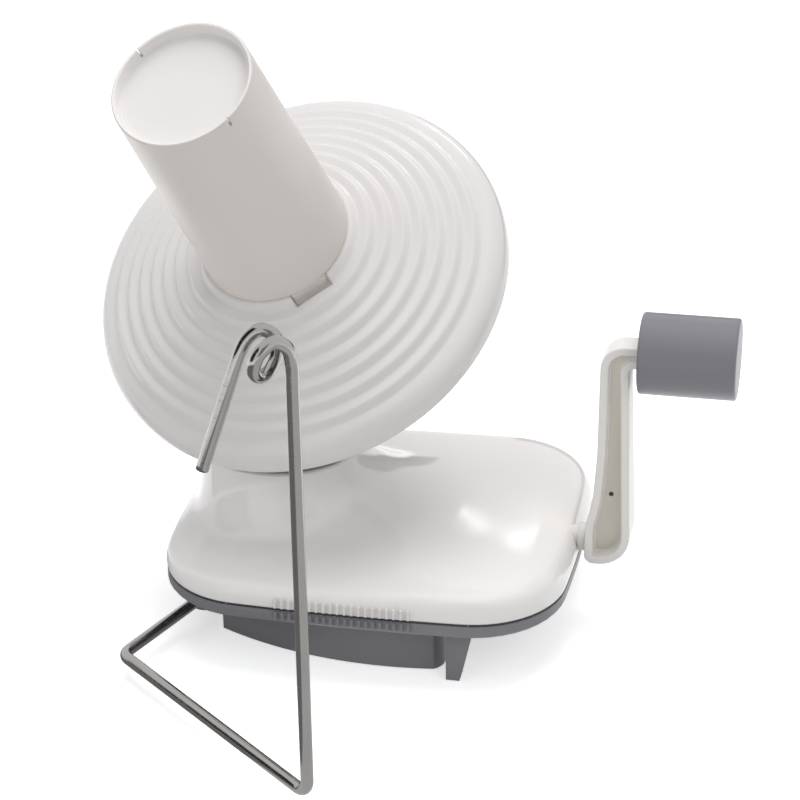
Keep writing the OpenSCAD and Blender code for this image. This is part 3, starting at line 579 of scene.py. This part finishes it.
def finger_ribs(name, slot, low, high, grow):
    """A row of ribs between two heights, some way outside the front of the base."""
    bm = bmesh.new()
    size = Matrix.Diagonal((rib_width * mm, rib_depth * mm, (high - low) * mm, 1))
    for i in range(rib_count):
        x = rib_start + rib_pitch * i
        y = base_shift + front_mid.y - math.sqrt((bow_front + grow) ** 2 - x * x)
        turn = Matrix.Rotation(math.asin(x / bow_front), 4, "Z")
        spot = Matrix.Translation(Vector((x, y, (low + high) / 2)) * mm)
        bmesh.ops.create_cube(bm, size=1, matrix=spot @ turn @ size)
    soften(bm, rib_round, 2)
    hand_over(bm, name, "base", finishes[slot])


finger_ribs("cover_ribs", "white_gloss", 22.6, 25.7, 0.35)
finger_ribs("band_ribs", "grey_tray", 18.7, 21.3, 0.1)

# %% [markdown]
# The disc and the core are round, so they are turned: a half section is drawn as a closed line and spun
# about Z. Then the sharp rings are bevelled, which gives every step its small radius. At the end
# the work is laid into the frame of the spool, which the joint's axis gives.

# %% Turning
spool_joint = next(j for j in frame["joints"] if j["name"] == "spool_spin")
spool_axis = Vector(spool_joint["axis"])
spool_frame = (Matrix.Translation(spool_joint["pos_m"])
               @ Matrix.Rotation(math.atan2(spool_axis.y, spool_axis.x), 4, "Z")
               @ Matrix.Rotation(math.acos(spool_axis.z), 4, "Y"))


def turned(section, parts=144):
    """A closed line of (radius, height) points in millimetres, spun about Z."""
    bm = bmesh.new()
    points = [bm.verts.new((r * mm, 0, h * mm)) for r, h in section]
    edges = [bm.edges.new(pair) for pair in zip(points, points[1:] + points[:1])]
    bmesh.ops.spin(bm, geom=points + edges, axis=(0, 0, 1), cent=(0, 0, 0), angle=math.tau, steps=parts,
                   use_merge=True)
    bmesh.ops.remove_doubles(bm, verts=bm.verts, dist=weld)
    bmesh.ops.delete(bm, geom=[e for e in bm.edges if not e.link_faces], context="EDGES")
    bmesh.ops.recalc_face_normals(bm, faces=bm.faces)
    return bm


def arc(middle_r, middle_h, radius, first, last, parts=8):
    """Points of a round in a half section, from one angle to another."""
    angles = [math.radians(first + (last - first) * i / parts) for i in range(parts + 1)]
    return [(middle_r + radius * math.cos(a), middle_h + radius * math.sin(a)) for a in angles]


print("spool leans", round(math.degrees(math.acos(spool_axis.z)), 1), "degrees")

# %% [markdown]
# Slots and slits are openings with straight sides in a round wall. A block is set where each one goes and
# taken away from the turned work by a Boolean. Cutting after turning is simpler than
# leaving gaps in the rings, and the exact solver keeps the work closed.

# %% Cutting
def cut_away(work, knife):
    """Cuts one closed work mesh out of another and gives back what is left."""
    stock, tool = put_in_scene("stock", as_mesh(work, "stock")), put_in_scene("knife", as_mesh(knife, "knife"))
    cut = stock.modifiers.new("cut", "BOOLEAN")
    cut.object, cut.operation, cut.solver = tool, "DIFFERENCE", "EXACT"
    left = bpy.data.meshes.new_from_object(stock.evaluated_get(bpy.context.evaluated_depsgraph_get()))
    result = bmesh.new()
    result.from_mesh(left)
    for used in (stock, tool):
        bpy.data.objects.remove(used)
    bpy.data.meshes.remove(left)
    return result


def block(bm, near, far, width, low, high, turn):
    """A block that points outwards from the axis at a turn in degrees."""
    size = Matrix.Diagonal(((far - near) * mm, width * mm, (high - low) * mm, 1))
    spot = Matrix.Translation(Vector(((near + far) / 2, 0, (low + high) / 2)) * mm)
    bmesh.ops.create_cube(bm, size=1, matrix=Matrix.Rotation(math.radians(turn), 4, "Z") @ spot @ size)


print("cutting helpers:", cut_away.__name__, block.__name__)

# %% [markdown]
# Eight low steps run down the disc to a round shoulder and a short skirt. Below, the shell has
# an even wall, and a long hub reaches down to the gears. Two slots beside the core let its keys in.
# The streak panel shines on the disc alone, so its glints stay on the steps.

# %% Stepped disc
def face_weights(piece):
    """Keeps flat faces flat in the shading, beside their rounded edges."""
    weigh = piece.modifiers.new("flat_faces", "WEIGHTED_NORMAL")
    weigh.keep_sharp = True


steps, drop, slope, first_step, last_step = 8, 2.25, 1.5, 24.5, 56.7
shoulder, inner_shoulder, skirt, step_round = 6.3, 3.9, 2.7, 0.55
bore_r, hub_r, hub_top, hub_foot, web_low = 3.05, 8, 33, -40.9, -4.2
key_turns = (51, 231)
key_slot = {"near": 18.3, "far": 24.1, "width": 12, "low": -6, "high": 1}
pitch = (last_step - first_step) / (steps - 1)
shoulder_h = -steps * drop - shoulder
skirt_h = shoulder_h - skirt
section = [(bore_r, hub_top), (hub_r, hub_top), (hub_r, 0)]
for i in range(steps):
    section += [(first_step + i * pitch - slope, -i * drop), (first_step + i * pitch, -(i + 1) * drop)]
section = section[:-1] + arc(last_step, shoulder_h, shoulder, 90, 0)
section += [(last_step + shoulder, skirt_h), (last_step + inner_shoulder, skirt_h)]
section += arc(last_step, shoulder_h, inner_shoulder, 0, 90)
section += [(first_step, web_low), (hub_r, web_low), (hub_r, hub_foot), (bore_r, hub_foot)]
bm = turned(section)
soften(bm, step_round)
knife = bmesh.new()
for turn in key_turns:
    block(knife, **key_slot, turn=turn)
bm = cut_away(bm, knife)
bmesh.ops.transform(bm, matrix=spool_frame, verts=bm.verts)
# The disc takes the darker white, as painted shade.
disc = hand_over(bm, "stepped_disc", "spool", finishes["disc_gloss"], ["spool_disc"])
face_weights(disc)
lit_by_streaks = bpy.data.collections.new("lit_by_streaks")
lit_by_streaks.objects.link(disc)
streak_panel.light_linking.receiver_collection = lit_by_streaks

# %% [markdown]
# The core is a thin cup on a tapered tube. Its rim is little more than a millimetre wide, two fine slits hold
# the end of the yarn, and two keys at its foot sit in the disc. The inside of the cup takes the cover's lighter
# white, as painted light falling into it from above.
# The tube is turned, the slits are cut, and the keys are joined to it as blocks.

# %% Core
core_top, core_round, key_round = 76.2, 0.4, 0.3
cup_low, cup_r = core_top - 4, 19.6
slit_turns = (65, 245)
slit = {"near": 12, "far": 26, "width": 0.5, "low": core_top - 2.8, "high": core_top + 4}
key_block = {"near": 19.7, "far": 21.9, "width": 11.4, "low": -5, "high": 0.3}
bm = turned([(22, 0), (20, core_top), (19, core_top), (18.5, core_top - 3), (17.62, core_top - 3.4),
             (17.62, core_top - 8), (19.6, 0)])
soften(bm, core_round)
knife = bmesh.new()
for turn in slit_turns:
    block(knife, **slit, turn=turn)
bm = cut_away(bm, knife)
# Faces inside the top of the cup get the second material, the cover's lighter white: painted light from above.
for face in bm.faces:
    middle = face.calc_center_median()
    if middle.z > cup_low * mm and middle.to_2d().length < cup_r * mm:
        face.material_index = 1
for turn in key_turns:
    key = bmesh.new()
    block(key, **key_block, turn=turn)
    soften(key, key_round, 2)
    shape = as_mesh(key, "key")
    bm.from_mesh(shape)
    bpy.data.meshes.remove(shape)
bmesh.ops.transform(bm, matrix=spool_frame, verts=bm.verts)
core = hand_over(bm, "turned_core", "spool", finishes["white_satin"], ["spool_core"])
# The second material is the cover's lighter white, painted light inside the cup.
core.data.materials.append(finishes["cover_gloss"])
face_weights(core)

# %% [markdown]
# The end plate is a shallow dish in the top of the core. It is turned from a half section of its own, because
# it is a separate piece on the real tool. The dish shades more softly than a flat plate would.

# %% End plate
plate_dish = [(0, -4.1), (9, -4.05), (14, -3.95), (16.4, -3.75), (17.6, -3.45), (18.3, -3.05), (18.9, -2.4),
              (18.9, -5.2), (0, -5.2)]
bm = turned([(r, core_top + h) for r, h in plate_dish])
bmesh.ops.transform(bm, matrix=spool_frame, verts=bm.verts)
face_weights(hand_over(bm, "end_plate", "spool", finishes["white_gloss"], ["core_cap"]))

# %% [markdown]
# The crank arm is a flat lever with a toe at the shaft and a bend at the grip. Both faces are hollowed, which
# leaves a rib all round a thin web. Its outline is drawn with round corners and can be drawn again some
# way further in. Scaling it would not keep the rib's width even, so each side is moved in and the corners are
# worked out anew. Each corner is (X, Z, how far before it the round starts).

# %% Outline of the arm
corners = [(62.4, 20.9, 2.6), (75.9, 20.7, 9.5), (74.1, 84, 1.7), (76.4, 84, 0), (76.4, 90.4, 0),
           (65.8, 90.4, 7), (65.5, 56, 0), (64.5, 41, 5), (62.4, 32.8, 2.6)]
grip_side, grip_share, least_radius, round_parts = 3, 0.15, 0.5, 8


def arm_outline(inset):
    """The arm's outline some millimetres further in, as (X, Z) points. The side at the grip hardly moves."""
    spots = [Vector(c[:2]) for c in corners]
    count = len(spots)
    ways = [(spots[(i + 1) % count] - spots[i]).normalized() for i in range(count)]
    inner = [Vector((-way.y, way.x)) * inset * (grip_share if i == grip_side else 1)
             for i, way in enumerate(ways)]
    points = []
    for i, (_, _, cut) in enumerate(corners):
        came, goes = ways[i - 1], ways[i]
        bend = came.cross(goes)
        off = (inner[i] - inner[i - 1]).cross(goes) / bend
        corner = spots[i] + inner[i - 1] + came * off
        if not cut:
            points.append(corner)
            continue
        half = math.tan(came.angle(goes) / 2)
        radius = max(cut / half - math.copysign(inset, bend), least_radius)
        start = corner - came * radius * half
        middle = start + Vector((-came.y, came.x)) * math.copysign(radius, bend)
        turn = came.angle_signed(goes)
        points += [middle + Matrix.Rotation(-turn * k / round_parts, 2) @ (start - middle)
                   for k in range(round_parts + 1)]
    return points


print("arm outline:", len(arm_outline(0)), "points")

# %% [markdown]
# A row of such outlines, extruded one from the other, runs from one web over the rib and the outside to
# the other web, so each rib gets its rounded edges on the way. Each row is (inset, what its depth is
# measured from, how far past that). The rib is deepest at the foot of the arm and thins towards the grip.

# %% Crank arm
web, rib_foot, rib_thins, thin_from, thin_over = 2.65, 7, 2.75, 26, 61.5
rib_edge = [(2.9, "web", 0), (2.6, "web", 0.35), (2.45, "rib", -0.5), (2.3, "rib", -0.15), (2, "rib", 0),
            (0.4, "rib", 0), (0.12, "rib", -0.12), (0, "rib", -0.4)]
rows = [(-1, *row) for row in rib_edge] + [(1, *row) for row in reversed(rib_edge)]
bm = bmesh.new()
order = bm.verts.layers.int.new("order")
loop = [bm.verts.new((x * mm, 0, z * mm)) for x, z in arm_outline(rib_edge[0][0])]
for k, v in enumerate(loop):
    v[order] = k
edges = [bm.edges.new(pair) for pair in zip(loop, loop[1:] + loop[:1])]
loops = [loop]
for _ in rows[1:]:
    points, edges = extrude_ring(bm, edges)
    loops.append(sorted(points, key=lambda v: v[order]))
for loop, (hand, inset, start, past) in zip(loops, rows):
    for v, (x, z) in zip(loop, arm_outline(inset)):
        climb = min(max((z - thin_from) / thin_over, 0), 1)
        depth = past + (web if start == "web" else rib_foot - rib_thins * climb)
        v.co = (x * mm, hand * depth * mm, z * mm)
# The two web faces take the darker web finish: painted shade in the hollow.
for loop in (loops[0], loops[-1]):
    bm.faces.new(loop).material_index = 1
arm = hand_over(bm, "ribbed_arm", "crank", finishes["arm_white"], ["crank_arm"], 50)
arm.data.materials.append(finishes["arm_web"])
face_weights(arm)

# %% [markdown]
# The steel pin of the grip starts inside the arm's bend. The bend is rounder here than in the solid, so the pin
# starts a little further out. A near-black disc on the web stands for the mouth of a small hole through it:
# painted shade, as the hole is not cut.

# %% Pin and painted hole shade
pin_start, pin_r, spot_r, spot_depth = 71.5 * mm, 2.2 * mm, 0.7 * mm, 0.5 * mm
spot_place = Vector((69.6, -2.6, 42.5)) * mm


def rod(middle, radius, length, axis, segments):
    """A round bar in metres. A quarter turn about Y lays it along X, and one about X along Y."""
    bm = bmesh.new()
    bmesh.ops.create_cone(bm, cap_ends=True, segments=segments, radius1=radius, radius2=radius, depth=length,
                          matrix=Matrix.Translation(middle) @ Matrix.Rotation(math.pi / 2, 4, axis))
    return bm


pin_low, pin_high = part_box("grip_pin")
pin_place = Vector(((pin_start + pin_high.x) / 2, 0, (pin_low.z + pin_high.z) / 2))
bm = rod(pin_place, pin_r, pin_high.x - pin_start, "Y", 32)
soften(bm, 0.2, 2, 60)
face_weights(hand_over(bm, "drawn_pin", "crank", finishes["steel"], ["grip_pin"]))
print("pin of the solid starts at", round(pin_low.x, 4))

# A near-black disc on the web: painted shade in the mouth of the hole.
bm = rod(spot_place, spot_r, spot_depth, "X", 20)
soften(bm, 0.08, 2)
hand_over(bm, "painted_hole_shade", "crank", finishes["shadow_line"])

# %% [markdown]
# The grip is a plain turned sleeve with a closed end and small rounded edges. It is spun about Z like
# the disc, then laid along the crank's axis direction at the grip's joint.

# %% Grip
grip_r, grip_bore, grip_wall, grip_round, grip_parts = 11.8, 2.3, 3, 0.8, 96
grip_joint = next(j for j in frame["joints"] if j["name"] == "grip_spin")
grip_start, grip_end = (box.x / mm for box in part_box("grip_knob"))
bm = turned([(grip_bore, grip_start), (grip_r, grip_start), (grip_r, grip_end), (0, grip_end),
             (0, grip_end - grip_wall), (grip_bore, grip_end - grip_wall)], grip_parts)
soften(bm, grip_round, 4)
_, grip_y, grip_z = grip_joint["pos_m"]
lay = Matrix.Translation((0, grip_y, grip_z)) @ Matrix.Rotation(math.pi / 2, 4, "Y")
bmesh.ops.transform(bm, matrix=lay, verts=bm.verts)
grip = hand_over(bm, "turned_grip", "grip", finishes["grey_grip"], ["grip_knob", "grip_end"])
face_weights(grip)

# %% [markdown]
# The yarn guide is one piece of wire, bent by hand tools: two level runs, an upright, one open turn as
# the eye, and a straight tail. Its middle line comes first. The two corners are true arcs. The eye runs through
# measured points, and each handle there points along its neighbours, so the line has no kinks.

# %% Line of the wire
wire_r, bend_r, tail_length, foot_pull = 1.75, 4.5, 34, 0.8


def rounded_corner(before, corner, after, radius):
    """Start and end of the bend at a corner, each with the handles that make a round arc."""
    a, b = (before - corner).normalized(), (after - corner).normalized()
    half = a.angle(b) / 2
    reach = radius / math.tan(half)
    handle = radius * 4 / 3 * math.tan((math.pi - 2 * half) / 4)
    start, end = corner + a * reach, corner + b * reach
    return [(start, start + a * handle, start - a * handle), (end, end - b * handle, end + b * handle)]


pivot = Vector((-50.5, -20, 6))
front_left, front_right = Vector((-65, -58, 6)), Vector((4.5, -117, 6))
eye_foot = Vector((4.5, -117, 136))
first = pivot + (front_left - pivot).normalized()
eye_route = [(0, 0, -9), (0, 0, -4), (-0.9, -0.3, 0.5), (-3.7, -2.3, 2.9), (-6.9, -4.9, 0.5),
             (-8.4, -4.8, -3.8), (-7.8, -2, -6.9), (-6.2, 1.2, -6.6), (-5, 4.2, -3.8), (-5.2, 5.6, -0.2),
             (-7.3, 5.9, 1.9), (-10, 5.7, 1.9), (-12.7, 5.3, -0.6), (-14.6, 4.9, -4.5), (-16, 4.7, -8.7)]
eye_line = [eye_foot + Vector(q) for q in eye_route]
tail_way = (eye_line[-1] - eye_line[-2]).normalized()
tail_tip = eye_line[-2] + tail_length * tail_way
knots = [(first, first, first)]
knots += rounded_corner(first, front_left, front_right, bend_r)
knots += rounded_corner(front_left, front_right, eye_foot, bend_r)
for i, spot in enumerate(eye_line[:-1]):
    pull = (eye_line[i + 1] - eye_line[i - 1]) / 6 if i else Vector((0, 0, foot_pull))
    knots.append((spot, spot - pull, spot + pull))
knots.append((tail_tip, tail_tip - tail_way, tail_tip + tail_way))
print("wire line:", len(knots), "knots")

# %% [markdown]
# A solid needs flat facets for such bends. A curve does it better: a round bevel is carried along the line,
# so the bends stay smooth and the wire keeps its thickness. The curve is made a mesh at the end,
# so that it is handed over as a piece like the others.

# %% Guide wire
line = bpy.data.curves.new("guide_line", "CURVE")
line.dimensions, line.resolution_u = "3D", 10
line.bevel_depth, line.bevel_resolution, line.use_fill_caps = wire_r * mm, 7, True
spline = line.splines.new("BEZIER")
spline.bezier_points.add(len(knots) - 1)
for point, (spot, entering, leaving) in zip(spline.bezier_points, knots):
    point.handle_left_type = point.handle_right_type = "FREE"
    point.co, point.handle_left, point.handle_right = spot * mm, entering * mm, leaving * mm
drawn = put_in_scene("guide_line", line)
drawn_mesh = bpy.data.meshes.new_from_object(drawn.evaluated_get(bpy.context.evaluated_depsgraph_get()))
bpy.data.objects.remove(drawn)
bm = bmesh.new()
bm.from_mesh(drawn_mesh)
bpy.data.meshes.remove(drawn_mesh)
bmesh.ops.remove_doubles(bm, verts=bm.verts, dist=0.01 * mm)
hand_over(bm, "bent_guide_wire", "guide", finishes["wire"], ["guide_wire"], 180)

# %% [markdown]
# The last step brings the view layer up to date.

# %% Update the view layer
bpy.context.view_layer.update()
